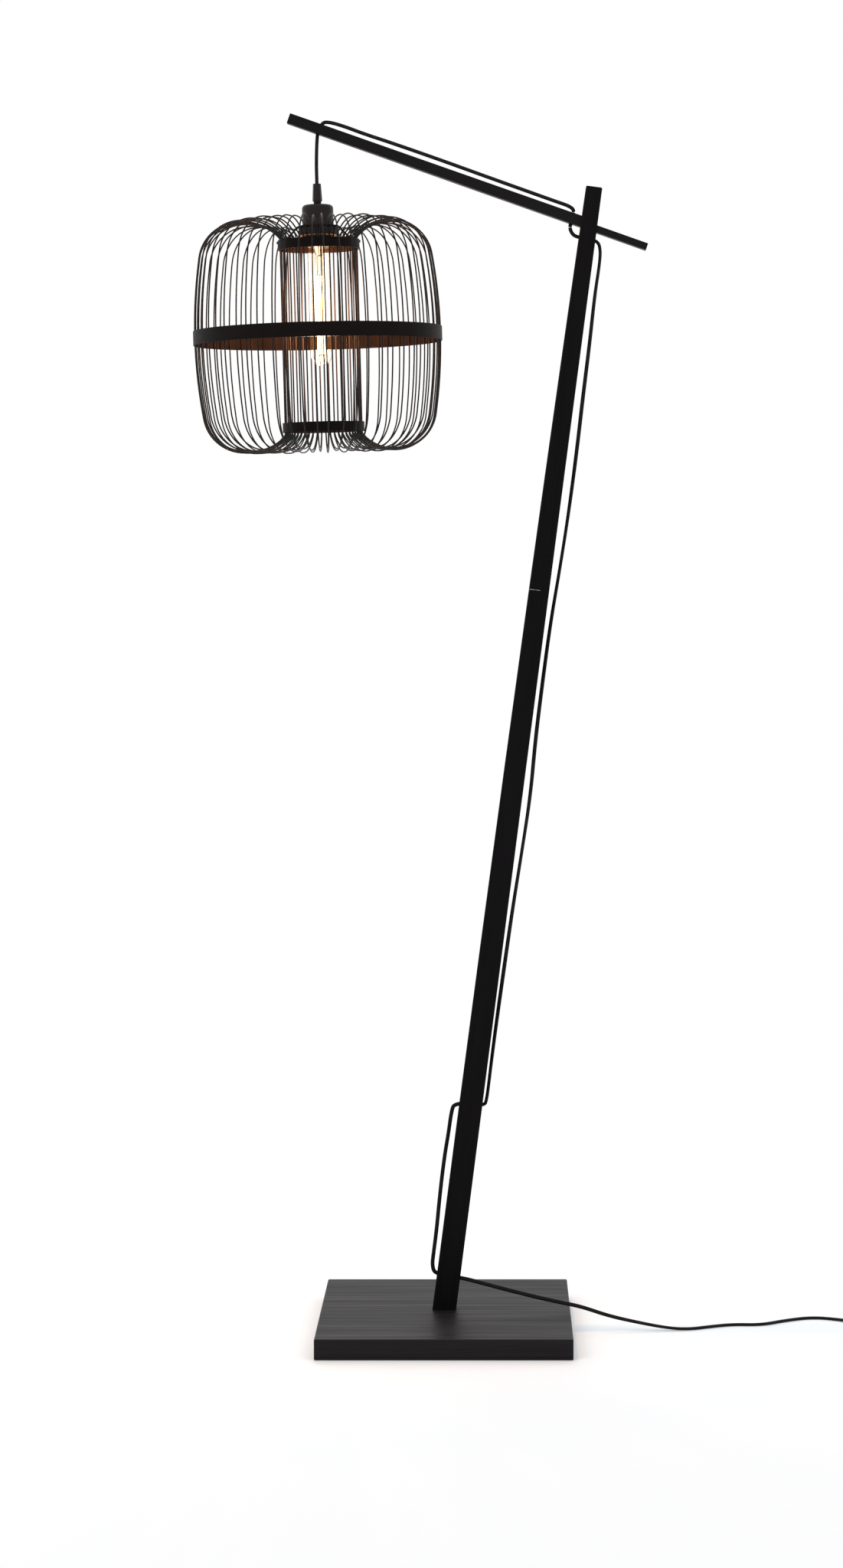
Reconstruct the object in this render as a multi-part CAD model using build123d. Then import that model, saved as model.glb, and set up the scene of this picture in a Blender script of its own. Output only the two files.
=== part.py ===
"""Wire cage floor lamp: a leaning wooden post on a square board, a sloping arm and a hanging wire shade.

Millimetres. The origin is the centre of the base board's underside, +X to the side that the post leans
to, +Y to the back and +Z up.
"""

from build123d import *
import math
import os

os.makedirs("parts", exist_ok=True)

# Base board and the plate under it
base_side = 350.0
base_thickness = 28.0
base_edge_bevel = 1.2
plate_length = 44.0
plate_width = 15.0
plate_thickness = 3.0
plate_recess = 3.0
pocket_clearance = 0.5
bolt_spacing = 15.0
bolt_offset = 1.5
bolt_diameter = 5.0
bolt_head_diameter = 9.4
bolt_into_post = 18.0
bolt_insert_length = 20.0
bolt_insert_wall = 1.0

# Post
post_lean = 7.61
post_foot_x = -1.9
post_length = 1590.0
post_width_foot = 33.0
post_width_top = 22.8
post_bulge_left = 3.0
post_bulge_right = -0.8
post_depth = 24.0
post_edge_bevel = 1.2
lap_low = 1018.0
lap_high = 1067.0
seam_gap = 0.3
lap_screw_inset = 12.0
lap_screw_diameter = 4.8
lap_screw_head = 8.8
lap_insert_diameter = 7.0
lap_insert_length = 9.0

# Arm
arm_drop = 19.5
arm_start_from_post_tip = (-429.2627, 0.0, 97.104)
arm_length = 535.0
arm_depth = 15.0
arm_below = 7.4
arm_above_tip = 6.8
arm_above_shoulder = 7.9
tail_height = 9.8
tail_start = 415.0
mortise_clearance = 0.1
lock_screw_along = 447.5
lock_screw_diameter = 3.5
lock_screw_head = 7.0
lock_screw_into_tail = 9.0

# Lead and the holes that it is threaded through
cord_width = 5.6
cord_hole = 7.4
arm_hole_tip = 44.9
arm_hole_post = 422.6
post_hole_below_tip = 71.9
post_hole_mid = 314.7
post_hole_low = 73.2

# Clearances
turn_gap = 0.3
cord_turn_gap = 0.5
fit_gap = 0.05
seat_gap = 0.1
screw_clearance = 0.15
ring_nut_clearance = 0.09

# Pendant: its tilt, and its place and the cord's two bends, all measured from the arm's high end
hoop_centre_from_arm = (45.2, 4.0, -305.7)
tilt_side = 1.5
tilt_fore = 1.8
swing_side_from_arm = (40.0, 0.0, -23.7)
swing_fore_from_arm = (39.0, -2.9, -46.1)
cord_turn_height = 236.0

# Grip and lamp holder, heights above the hoop's centre
grip_top = 213.6
grip_bottom = 186.4
grip_top_width = 10.3
grip_bottom_width = 12.8
grip_bore_depth = 12.0
cup_top = 184.1
cup_bottom = 154.6
cup_diameter = 44.0
cup_wall = 1.8
cup_round = 5.5
nipple_diameter = 8.0
nipple_wall = 0.8
skirt_diameter = 38.6
skirt_wall = 2.4
skirt_bottom = 136.0
skirt_top = 162.0
insert_thickness = 9.0
shell_diameter = 27.6
shell_wall = 0.4
carrier_thickness = 2.0
ring_nut_diameter = 55.0
carrier_diameter = 58.4
ring_nut_bottom = 140.6

# Shade
wire_count = 56
wires_per_rod = 2
wire_diameter = 2.0
core_radius = 54.0
ring_height = 13.6
ring_level = 128.0
ring_thickness = 2.5
hoop_height = 20.0
hoop_diameter = 350.0
hoop_thickness = 1.4
hoop_shift = -4.5
flare_level = 138.0
flare_radius = 8.0
crest_level = 160.6
crest_radius = 59.0
shoulder_inset = 16.4
shoulder_radius = 57.5
belly_radius = 700.0
wire_yaw = 0.8
crest_vary = 1.3
arm_count = 4
arm_rod_diameter = 2.8
arm_rod_low = 132.0
rivet_diameter = 1.6
rivet_head = 3.6

# Bulb
bulb_diameter = 30.0
bulb_tip = -41.8
bulb_neck = 124.0
bulb_glass_wall = 0.9
cap_diameter = 26.4
cap_bottom = 131.5
cap_top = 154.0
contact_top = 157.6
stem_bottom = 92.0
filament_count = 6
filament_diameter = 1.5
filament_circle = 4.6
filament_top = 84.7
filament_bottom = -26.0

# Switch on the lead
switch_centre = (646.0, 14.0)
switch_length = 66.0
switch_width = 27.0
switch_height = 19.0
switch_wall = 2.0
switch_parting = 9.5
switch_cord_height = 7.5
rocker_length = 19.0
rocker_width = 8.8
rocker_pivot_height = 15.0
rocker_pin_diameter = 2.4
rocker_gap = 0.7

# Stored coil
coil_centre = (734.0, 52.0)
coil_rise = 1.0
coil_pitch = 6.2
coil_layer = 6.2
coil_inner_radius = 24.5
coil_half_turns = 5
tie_thickness = 0.8
tie_width = 9.0
tie_gap = 0.15

# Plug
plug_face = 611.0
plug_length = 36.0
plug_width = 34.0
plug_thickness = 13.7
plug_rear_width = 15.0
plug_row = 94.0
plug_lift = 0.2
pin_diameter = 4.0
pin_length = 19.0
pin_spacing = 18.6
relief_length = 22.0
relief_front = 12.0
relief_rear = 8.6


def save(node, *solids):
    shapes = [s for shape in solids for s in shape.solids()]
    export_step(Compound(children=[Solid(s.wrapped) for s in shapes]), "parts/" + node + ".step")


def rod(diameter, low, high, bore=0.0):
    """A round bar along Z between two heights, with an optional bore."""
    body = Pos(0, 0, (low + high) / 2) * Cylinder(diameter / 2, high - low)
    if bore:
        body -= Pos(0, 0, (low + high) / 2) * Cylinder(bore / 2, high - low + 2)
    return body


def cone(low_diameter, high_diameter, low, high):
    return Pos(0, 0, (low + high) / 2) * Cone(low_diameter / 2, high_diameter / 2, high - low)


def block(length, width, low, high):
    return Pos(0, 0, (low + high) / 2) * Box(length, width, high - low)


def upright(outline, depth):
    """A closed outline of (x, z) points as a plate, centred on Y."""
    face = Plane.XZ * make_face(Polyline(*outline, close=True))
    return extrude(face, amount=depth / 2, both=True)


def between(start, end):
    """Turns a bar that is built along Z so that it runs from start to end."""
    direction = Vector(*end) - Vector(*start)
    return Plane(origin=start, z_dir=direction).location


def tube(points, diameter, name):
    """A round tube through hand-placed points: straight runs with the largest tangent arcs."""
    places = [Vector(*p) for p in points]
    radii = []
    for before, here, after in zip(places, places[1:], places[2:]):
        turn = (here - before).get_angle(after - here)
        shorter = min((here - before).length, (after - here).length)
        radii.append(0.45 * shorter / math.tan(math.radians(turn) / 2))
    path = FilletPolyline(*places, radius=radii)
    wire = Wire(path.edges())
    section = Plane(origin=places[0], z_dir=places[1] - places[0]) * Circle(diameter / 2)
    body = sweep(section, path=wire)
    expected = math.pi * (diameter / 2) ** 2 * wire.length
    print(name, "length", round(wire.length, 1), "volume ratio", round(body.volume / expected, 4))
    print("  radii", [round(r, 1) for r in radii])
    return body


# Places that several pieces share
def shifted(start, offset):
    return tuple(Vector(*start) + Vector(*offset))


post_place = Pos(post_foot_x, 0, base_thickness) * Rot(0, post_lean, 0)
post_tip = tuple((post_place * Pos(0, 0, post_length)).position)
post_hole_high = post_tip[2] - post_hole_below_tip
arm_start = shifted(post_tip, arm_start_from_post_tip)
arm_place = Pos(*arm_start) * Rot(0, arm_drop, 0)
hoop_centre = shifted(arm_start, hoop_centre_from_arm)
swing_side_point = shifted(arm_start, swing_side_from_arm)
swing_fore_point = shifted(arm_start, swing_fore_from_arm)
pendant_place = Pos(*hoop_centre) * Rot(tilt_fore, -tilt_side, 0)
lap_screw_levels = (lap_low + lap_screw_inset, lap_high - lap_screw_inset)
tail_centre = tail_height / 2 - arm_below


def post_side(level, side):
    """The place of the post's left (-1) or right (1) face at a distance up its axis."""
    share = level / post_length
    straight = post_width_foot + (post_width_top - post_width_foot) * share
    bulge = post_bulge_right if side > 0 else post_bulge_left
    return side * (straight / 2 + bulge * 4 * share * (1 - share))


def post_point(height):
    """The point of the post's axis at a height above the floor."""
    rise = height - base_thickness
    return (post_foot_x + rise * math.tan(math.radians(post_lean)), 0.0, height)


# ---------------------------------------------------------------- base


def make_base():
    board = block(base_side, base_side, 0, base_thickness)
    board = chamfer(board.edges(), base_edge_bevel)
    pocket = block(plate_length + pocket_clearance, plate_width + pocket_clearance, -1, plate_recess)
    board -= Pos(bolt_offset, 0, 0) * pocket
    for x in bolt_places():
        board -= Pos(x, 0, 0) * rod(bolt_diameter + 0.6, -1, base_thickness + 1)
    return board


def bolt_places():
    return [bolt_offset - bolt_spacing / 2, bolt_offset + bolt_spacing / 2]


def base_bolt(gap=0.0):
    head_low = plate_recess - plate_thickness
    length = base_thickness + bolt_into_post - head_low
    return Pos(0, 0, head_low) * countersunk(bolt_diameter, bolt_head_diameter, length, gap)


def make_foot_plate():
    plate = block(plate_length, plate_width, plate_recess - plate_thickness, plate_recess)
    plate = fillet(plate.edges().filter_by(Axis.Z), 3.0)
    plate = Pos(bolt_offset, 0, 0) * plate
    for x in bolt_places():
        plate -= Pos(x, 0, 0) * base_bolt(fit_gap)
    return plate


# ---------------------------------------------------------------- post


def post_blade():
    """The whole post before it is cut, along its own axis."""
    below = -12.0
    levels = (0, post_length / 2, post_length)
    left = [(post_side(level, -1), level) for level in levels]
    right = [(post_side(level, 1), level) for level in levels]
    foot_left = (left[0][0], below)
    foot_right = (right[0][0], below)
    outline = Curve() + [
        Line(foot_left, foot_right),
        Line(foot_right, right[0]),
        ThreePointArc(*right),
        Line(right[2], left[2]),
        ThreePointArc(*reversed(left)),
        Line(left[0], foot_left),
    ]
    return extrude(Plane.XZ * make_face(outline), amount=post_depth / 2, both=True)


def eased_blade():
    """The blade with its long edges and its top edges bevelled."""
    blade = post_blade()
    long_edges = [e for e in blade.edges() if e.length > post_length / 2]
    top_edges = blade.faces().sort_by(Axis.Z)[-1].edges()
    return chamfer(long_edges + top_edges, post_edge_bevel)


def cut_post(blade):
    """Holes and the mortise, then the two lengths of the half-lap."""
    blade = post_place * blade
    blade -= block(200, 200, base_thickness - 100, base_thickness)
    for height in (post_hole_high, post_hole_mid, post_hole_low):
        drill = Rot(0, 90, 0) * Cylinder(cord_hole / 2, 80)
        blade -= Pos(*post_point(height)) * Rot(0, post_lean, 0) * drill
    mortise = Box(120, arm_depth + 2 * mortise_clearance, tail_height + 2 * mortise_clearance)
    blade -= arm_place * Pos(lock_screw_along, 0, tail_centre) * mortise
    blade -= lock_screw(screw_clearance)
    for x in bolt_places():
        seat = rod(insert_outer() + 2 * fit_gap, 0, base_thickness + bolt_insert_length + 1)
        blade -= Pos(x, 0, 0) * seat
    reach = post_length + 100
    half = 60.0
    steps = [(-half, -half), (half, -half), (half, lap_high), (0, lap_high), (0, lap_low), (-half, lap_low)]
    low_region = upright(steps, half)
    low = lap_low + seam_gap
    high = lap_high + seam_gap
    steps = [(-half, low), (0, low), (0, high), (half, high), (half, reach), (-half, reach)]
    high_region = upright(steps, half)
    lower = blade & (post_place * low_region)
    upper = blade & (post_place * high_region)
    for level in lap_screw_levels:
        lower -= post_place * lap_screw(level, screw_clearance)
        upper -= post_place * lap_insert(level, fit_gap, 0.0)
    return lower, upper


def insert_outer():
    return bolt_diameter + 2 * bolt_insert_wall


def post_insert():
    low = base_thickness
    return rod(insert_outer(), low, low + bolt_insert_length, bolt_diameter + 2 * fit_gap)


def countersunk(diameter, head, length, gap=0.0):
    """A countersunk screw that points up from its head, or with a gap the hole that it needs."""
    depth = (head - diameter) / 2
    body = cone(head + 2 * gap, diameter + 2 * gap, 0, depth)
    body += rod(diameter + 2 * gap, 0, length + (1.0 if gap else 0.0))
    if gap:
        return body + rod(head + 2 * gap, -4.0, 0)
    return body - extrude(RegularPolygon(diameter / 3, 6), amount=depth * 0.7)


def lap_screw(level, gap=0.0):
    """A screw that enters the post's right face and ends in its insert."""
    face = post_side(level, 1) - seat_gap
    body = countersunk(lap_screw_diameter, lap_screw_head, face + lap_insert_length - 1.0, gap)
    return Pos(face, 0, level) * Rot(0, -90, 0) * body


def lap_insert(level, gap, bore):
    body = rod(lap_insert_diameter + 2 * gap, 0, lap_insert_length + (1 if gap else 0), bore)
    return Pos(0, 0, level) * Rot(0, -90, 0) * body


# ---------------------------------------------------------------- arm


def make_arm(blade):
    shoulder = tail_start + 30
    outline = [
        (0, -arm_below),
        (shoulder, -arm_below),
        (shoulder, arm_above_shoulder),
        (0, arm_above_tip),
    ]
    front = upright(outline, arm_depth)
    front = chamfer(front.edges().filter_by(Axis.X), 0.8)
    front = arm_place * front
    front -= post_place * blade
    tail_size = Box(arm_length - tail_start, arm_depth, tail_height)
    tail = Pos((arm_length + tail_start) / 2, 0, tail_centre) * tail_size
    tail = chamfer(tail.edges().filter_by(Axis.X), 0.8)
    arm = front + arm_place * tail
    for along in (arm_hole_tip, arm_hole_post):
        arm -= arm_place * Pos(along, 0, 0) * Cylinder(cord_hole / 2, 40)
    arm -= lock_screw(fit_gap)
    return arm.solids().sort_by(SortBy.VOLUME)[-1]


def lock_screw(gap=0.0):
    """A screw from the post's back face into the arm's tail."""
    start = arm_place * Pos(lock_screw_along, 0, tail_centre)
    length = post_depth / 2 - arm_depth / 2 + lock_screw_into_tail
    body = countersunk(lock_screw_diameter, lock_screw_head, length, gap)
    return start * Pos(0, post_depth / 2 - seat_gap, 0) * Rot(90, 0, 0) * body


# ---------------------------------------------------------------- lead

arm_across = Vector(math.sin(math.radians(arm_drop)), 0, math.cos(math.radians(arm_drop)))
post_across = Vector(math.cos(math.radians(post_lean)), 0, -math.sin(math.radians(post_lean)))
arm_hole_middle = tuple((arm_place * Pos(arm_hole_post, 0, 0)).position)
mid_high = post_point(post_hole_high)
mid_mid = post_point(post_hole_mid)
mid_low = post_point(post_hole_low)


def through(middle, axis, distance):
    """A route's point on the axis of a hole, at a distance from the hole's middle."""
    return tuple(Vector(*middle) + axis * distance)


def near_arm(x, y, z):
    """A route's point, measured from the arm's high end."""
    return shifted(arm_start, (x, y, z))


def beside_post(side, share, clear, y):
    """A route's point beside the post: its share of the way up between two holes, and its clearance."""
    low, high = (post_hole_mid, post_hole_high) if side > 0 else (post_hole_low, post_hole_mid)
    low_level = (low - base_thickness) / math.cos(math.radians(post_lean))
    high_level = (high - base_thickness) / math.cos(math.radians(post_lean))
    level = low_level + share * (high_level - low_level)
    return tuple((post_place * Pos(post_side(level, side) + side * clear, y, level)).position)


arm_route = [
    near_arm(40.6, 0.0, -20.0),
    near_arm(45.7, 0.0, -5.7),
    near_arm(56.8, 0.0, -4.9),
    near_arm(77.6, 0.0, -10.9),
    near_arm(104.6, 0.6, -21.1),
    near_arm(145.6, 1.0, -34.5),
    near_arm(210.6, -0.6, -57.4),
    near_arm(280.6, 1.0, -82.5),
    near_arm(338.6, 0.0, -103.4),
    near_arm(377.6, 0.2, -117.3),
    near_arm(395.6, 0.0, -123.5),
    through(arm_hole_middle, arm_across, 11.4),
    arm_hole_middle,
]

loop_route = [
    arm_hole_middle,
    through(arm_hole_middle, arm_across, -11.3),
    near_arm(397.2, 0.0, -160.5),
    through(mid_high, post_across, -16.0),
    mid_high,
]

# Share of the way up, distance off the post's face, and Y
beside_upper = [
    (0.9890, 9.4, 0.0),
    (0.9694, 10.4, 0.4),
    (0.9389, 9.4, 1.5),
    (0.8817, 11.2, 2.5),
    (0.8201, 11.7, 1.5),
    (0.7587, 13.0, 2.5),
    (0.6905, 13.0, 1.0),
    (0.6271, 11.2, 2.0),
    (0.5586, 7.8, 3.5),
    (0.4896, 7.5, 2.5),
    (0.4239, 8.0, 3.5),
    (0.3602, 11.3, 2.0),
    (0.2944, 9.5, 3.0),
    (0.2276, 6.8, 1.5),
    (0.1610, 5.7, 2.5),
    (0.0993, 4.8, 1.0),
    (0.0525, 4.8, 0.6),
    (0.0246, 5.2, 0.2),
    (0.0079, 5.0, 0.0),
]
upper_route = [
    mid_high,
    through(mid_high, post_across, 14.6),
    *[beside_post(1, *place) for place in beside_upper],
    through(mid_mid, post_across, 18.5),
    mid_mid,
]

beside_lower = [
    (0.9327, 9.5, 0.2),
    (0.8251, 9.5, 0.8),
    (0.6877, 10.9, 1.5),
    (0.4686, 10.4, 2.0),
    (0.2627, 8.5, 1.2),
    (0.1219, 8.5, 0.5),
    (0.0475, 8.4, 0.0),
]
lower_route = [
    mid_mid,
    through(mid_mid, post_across, -24.4),
    *[beside_post(-1, *place) for place in beside_lower],
    through(mid_low, post_across, -19.0),
    mid_low,
]

floor_route = [
    mid_low,
    through(mid_low, post_across, 21.0),
    (56.0, -4.0, 62.8),
    (94.0, -9.5, 54.2),
    (132.0, -14.0, 45.8),
    (166.0, -18.5, 39.6),
    (192.0, -20.0, 34.4),
    (228.0, -18.0, 21.6),
    (272.0, -13.0, 10.6),
    (314.0, -13.5, 4.0),
    (343.0, -13.0, 2.9),
    (372.0, 1.0, 2.9),
    (405.0, 13.5, 2.9),
    (445.0, 10.5, 2.9),
    (482.0, 36.5, 2.9),
    (522.0, 54.0, 2.9),
    (558.0, 41.0, 2.9),
    (584.0, 20.5, 3.4),
    (603.0, 14.0, switch_cord_height),
    (switch_centre[0] - switch_length / 2 + 4.0, switch_centre[1], switch_cord_height),
]


def coil_path():
    """Two flat layers of half-turn arcs: the spiral runs in, climbs in a half turn, and runs out again."""
    level = cord_width / 2 + coil_rise
    step = coil_pitch / 2
    x, y = coil_centre
    outer = coil_inner_radius + coil_half_turns * step
    side = -1.0
    edge_y = y - outer
    start = Vector(x, edge_y, level)
    edges = [Line(start - Vector(cord_width, 0, 0), start)]
    radii_in = [outer - step * k for k in range(coil_half_turns)]
    radii_out = list(reversed(radii_in))
    for radius in radii_in:
        edges.append(half_turn(x, edge_y, level, radius, side))
        edge_y -= 2 * side * radius
        side = -side
    edges += climb(x, edge_y, level, coil_inner_radius, side)
    edge_y -= 2 * side * coil_inner_radius
    side = -side
    level += coil_layer
    for radius in radii_out:
        edges.append(half_turn(x, edge_y, level, radius, side))
        edge_y -= 2 * side * radius
        side = -side
    end = Vector(x, edge_y, level)
    away = Vector(side * -cord_width, 0, 0)
    edges.append(Line(end, end + away))
    return Wire([e for edge in edges for e in edge.edges()]), start, end + away


def half_turn(x, edge_y, level, radius, side):
    """A flat half circle that starts on the coil's near side (-1) or far side (1), anticlockwise."""
    start = (x, edge_y, level)
    middle = (x - side * radius, edge_y - side * radius, level)
    end = (x, edge_y - 2 * side * radius, level)
    return ThreePointArc(start, middle, end)


def climb(x, edge_y, level, radius, side):
    """Two quarter-turn arcs that rise one layer and start and end level."""
    half = coil_layer / 2
    out = math.sqrt(radius**2 + half**2)
    start = Vector(x, edge_y, level)
    middle = Vector(x - side * out, edge_y - side * radius, level + half)
    end = Vector(x, edge_y - 2 * side * radius, level + coil_layer)
    first = TangentArc(start, middle, tangent=(-side, 0, 0))
    second = TangentArc(middle, end, tangent=first % 1)
    return [first, second]


def coil_gap(wire):
    """The least distance between turns of the coil, measured on points along it."""
    count = 900
    places = [wire @ (k / count) for k in range(count + 1)]
    apart = int(count * 0.04)
    least = min(
        (places[i] - places[j]).length for i in range(count) for j in range(i + apart, count + 1)
    )
    return least - cord_width


coil_wire, coil_start, coil_end = coil_path()

tail_route = [
    (switch_centre[0] + switch_length / 2 - 4.0, switch_centre[1], switch_cord_height),
    (690.0, switch_centre[1], switch_cord_height),
    (703.0, 13.2, 5.2),
    (coil_start.X - cord_width - 12.0, coil_start.Y, coil_start.Z),
    (coil_start.X - cord_width, coil_start.Y, coil_start.Z),
]

plug_middle = plug_lift + plug_thickness / 2
plug_rear = plug_face + plug_length
plug_route = [
    (coil_end.X, coil_end.Y, coil_end.Z),
    (coil_end.X - 12.0, coil_end.Y, coil_end.Z),
    (coil_end.X - 24.0, coil_end.Y - 0.8, 8.8),
    (plug_rear + relief_length + 13.0, plug_row, plug_middle),
    (plug_rear + 0.5, plug_row, plug_middle),
]


def make_tie():
    """A strap round the coil's turns on its side away from the plug."""
    inner = coil_inner_radius - cord_width / 2 - tie_gap - 0.4
    outer = coil_inner_radius + coil_half_turns * coil_pitch / 2 + cord_width / 2 + tie_gap
    low = coil_rise - tie_gap
    high = coil_rise + cord_width + coil_layer + tie_gap
    across = outer - inner
    middle = coil_centre[0] + (inner + outer) / 2
    height = (low + high) / 2
    band = Box(across + 2 * tie_thickness, tie_width, high - low + 2 * tie_thickness)
    band = fillet(band.edges().filter_by(Axis.Y), 2.0)
    band -= fillet(Box(across, tie_width + 2, high - low).edges().filter_by(Axis.Y), 1.3)
    return Pos(middle, coil_centre[1] + coil_pitch / 2, height) * band


# ---------------------------------------------------------------- switch


def switch_place():
    return Pos(switch_centre[0], switch_centre[1], 0)


def switch_body(inset, low, high):
    """The switch's rounded outline between two heights, drawn in by inset."""
    outline = RectangleRounded(switch_length - 2 * inset, switch_width - 2 * inset, 9.0 - inset)
    return Pos(0, 0, low) * extrude(outline, amount=high - low)


def make_switch():
    floor_level = 0.2
    boss_diameter = 5.6
    inlet = Pos(0, 0, switch_cord_height) * Rot(0, 90, 0) * Cylinder(cord_width / 2 + turn_gap, 12)
    lower = switch_body(0, floor_level, switch_parting)
    lower = fillet(lower.faces().sort_by(Axis.Z)[0].edges(), 1.0)
    lower -= switch_body(switch_wall, floor_level + switch_wall, switch_parting + 1)
    upper = switch_body(0, switch_parting, switch_height)
    upper = fillet(upper.faces().sort_by(Axis.Z)[-1].edges(), 3.0)
    upper -= switch_body(switch_wall, switch_parting - 1, switch_height - switch_wall)
    upper -= block(rocker_length + 2 * rocker_gap, rocker_width + 2 * rocker_gap, 10, 30)
    lug_thickness = 2.6
    lug_y = rocker_width / 2 + rocker_gap + lug_thickness / 2
    lug = block(6.0, lug_thickness, rocker_pivot_height - 2.6, switch_height - switch_wall + 0.2)
    for side in (-1, 1):
        upper += Pos(0, side * lug_y, 0) * lug
    upper -= Pos(0, 0, rocker_pivot_height) * pin_bar(rocker_pin_diameter + 2 * fit_gap, 40)
    for x, y in screw_places():
        lower += Pos(x, y, 0) * rod(boss_diameter, floor_level + 1.0, switch_parting)
        lower -= Pos(x, y, 0) * rod(2.9, -1, 20)
        lower -= Pos(x, y, 0) * rod(5.2, -1, 1.7)
        upper += Pos(x, y, 0) * rod(boss_diameter, switch_parting, switch_height - 1.0)
        upper -= Pos(x, y, 0) * rod(2.7, 0, 15.0)
    for side in (-1, 1):
        mouth = Pos(side * switch_length / 2, 0, 0) * inlet
        lower -= mouth
        upper -= mouth
    return lower, upper


def screw_places():
    return [(-20.0, 7.6), (20.0, -7.6)]


def switch_screw():
    return rod(4.8, 0.5, 1.6) + rod(2.6, 0.5, 14.0) - rod(1.6, 0, 1.1)


def switch_contact(x):
    base = Pos(x, 0, 0) * block(5.0, 8.0, 2.2, 8.0)
    leaf = Pos(x, 0, 0) * block(3.0, 6.0, 7.9, 10.6)
    return base + leaf


def make_rocker():
    half = rocker_length / 2
    profile = [(-half, -1.8), (half, -1.8), (half, 4.7), (0, 3.4), (-half, 4.7)]
    body = upright(profile, rocker_width)
    body -= pin_bar(rocker_pin_diameter + 2 * fit_gap, 40)
    return Pos(0, 0, rocker_pivot_height) * body


def pin_bar(diameter, length):
    """A bar along Y, centred."""
    return Rot(90, 0, 0) * Cylinder(diameter / 2, length)


# ---------------------------------------------------------------- plug


def make_plug():
    half = plug_width / 2
    rear = plug_rear_width / 2
    step = 8.0
    outline = [(0, -half), (step, -half), (plug_length, -rear)]
    outline += [(plug_length, rear), (step, half), (0, half)]
    face = make_face(Polyline(*outline, close=True))
    body = Pos(plug_face, plug_row, plug_lift) * extrude(face, amount=plug_thickness)
    body = fillet(body.edges().filter_by(Axis.Z), 3.0)
    flats = body.faces().sort_by(Axis.Z)
    body = fillet(flats[-1].edges() + flats[0].edges(), 2.5)
    for side in (-1, 1):
        hole = Rot(0, 90, 0) * Cylinder(pin_diameter / 2 + fit_gap, 24)
        body -= Pos(plug_face, plug_row + side * pin_spacing / 2, plug_middle) * hole
    body -= Pos(plug_rear, plug_row, plug_middle) * Rot(0, 90, 0) * Cylinder(relief_front / 2 - 1.5, 8)
    return body


def plug_pin(side):
    body = rod(pin_diameter, -pin_length, 10.0)
    body = fillet(body.faces().sort_by(Axis.Z)[0].edges(), 1.4)
    return Pos(plug_face, plug_row + side * pin_spacing / 2, plug_middle) * Rot(0, 90, 0) * body


def make_relief():
    """A tapered, ribbed sleeve over the lead behind the plug."""
    body = cone(relief_front, relief_rear, 0.05, relief_length)
    body += rod(relief_front - 3.2, -3.8, 0.1)
    for k in range(4):
        level = 4.0 + 4.4 * k
        width = relief_front + (relief_rear - relief_front) * level / relief_length
        ring = rod(width + 2, level, level + 1.4) - rod(width - 1.4, level - 1, level + 3)
        body -= ring
    body -= rod(cord_width + 2 * fit_gap, 0, relief_length + 1)
    body -= rod(cord_width + 2 * fit_gap, -5, 1)
    return Pos(plug_rear, plug_row, plug_middle) * Rot(0, 90, 0) * body


# ---------------------------------------------------------------- pendant cord

turn_point = pendant_place * Pos(0, 0, cord_turn_height)
turn_place = tuple(turn_point.position)


def cord_link(start, end, end_gap):
    """A length of cord with a round end at its hinge and a flat end short of the next hinge."""
    length = (Vector(*end) - Vector(*start)).length
    bar = rod(cord_width, 0, length - end_gap)
    return between(start, end) * (bar + Sphere(cord_width / 2))


def make_pendant_cord():
    joint_gap = cord_width / 2 + turn_gap
    upper = cord_link(swing_side_point, swing_fore_point, joint_gap)
    lower = cord_link(swing_fore_point, turn_place, cord_turn_gap)
    tail = rod(cord_width, grip_top - grip_bore_depth + 0.3, cord_turn_height)
    return upper, lower, pendant_place * tail


# ---------------------------------------------------------------- holder


def make_grip():
    """An eight-sided tapered nut with a round neck."""
    top = Plane.XY.offset(grip_top) * RegularPolygon(grip_top_width / 2, 8, major_radius=False)
    neck = grip_bottom + 3
    low = Plane.XY.offset(neck) * RegularPolygon(grip_bottom_width / 2, 8, major_radius=False)
    body = loft([low.face(), top.face()])
    body += cone(9.6, grip_bottom_width - 1.0, cup_top + seat_gap, neck + 0.01)
    body -= rod(cord_width + 2 * turn_gap, grip_top - grip_bore_depth, grip_top + 1)
    body -= rod(nipple_diameter + 2 * fit_gap, cup_top - 1, grip_top - grip_bore_depth)
    return body


def make_nipple():
    high = grip_top - grip_bore_depth - 0.4
    return rod(nipple_diameter, cup_top - 9.0, high, nipple_diameter - 2 * nipple_wall)


def make_cup():
    body = rod(cup_diameter, cup_bottom, cup_top)
    body = fillet(body.faces().sort_by(Axis.Z)[-1].edges(), cup_round)
    hollow = rod(cup_diameter - 2 * cup_wall, cup_bottom - 1, cup_top - cup_wall)
    body -= fillet(hollow.faces().sort_by(Axis.Z)[-1].edges(), cup_round - cup_wall)
    return body - rod(nipple_diameter + 2 * fit_gap, cup_bottom, cup_top + 1)


def make_skirt():
    body = rod(skirt_diameter, skirt_bottom, skirt_top, skirt_diameter - 2 * skirt_wall)
    low = cup_bottom + 1.4
    wide = cup_diameter - 2 * cup_wall - 2 * fit_gap
    return body + rod(wide, low, low + 3.0, skirt_diameter - 1)


def make_insert():
    low = skirt_top + fit_gap
    wide = skirt_diameter
    body = rod(wide, low, low + insert_thickness)
    for side in (-1, 1):
        body -= Pos(side * 8.0, 0, 0) * rod(3.2, low + 3.0, low + insert_thickness + 1)
    return body - Pos(0, 0, low) * Box(10.0, 6.2, 3.0)


def make_contact_shell():
    inner = shell_diameter - 2 * shell_wall
    return rod(shell_diameter, cap_bottom + 7.0, skirt_top, inner)


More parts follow.
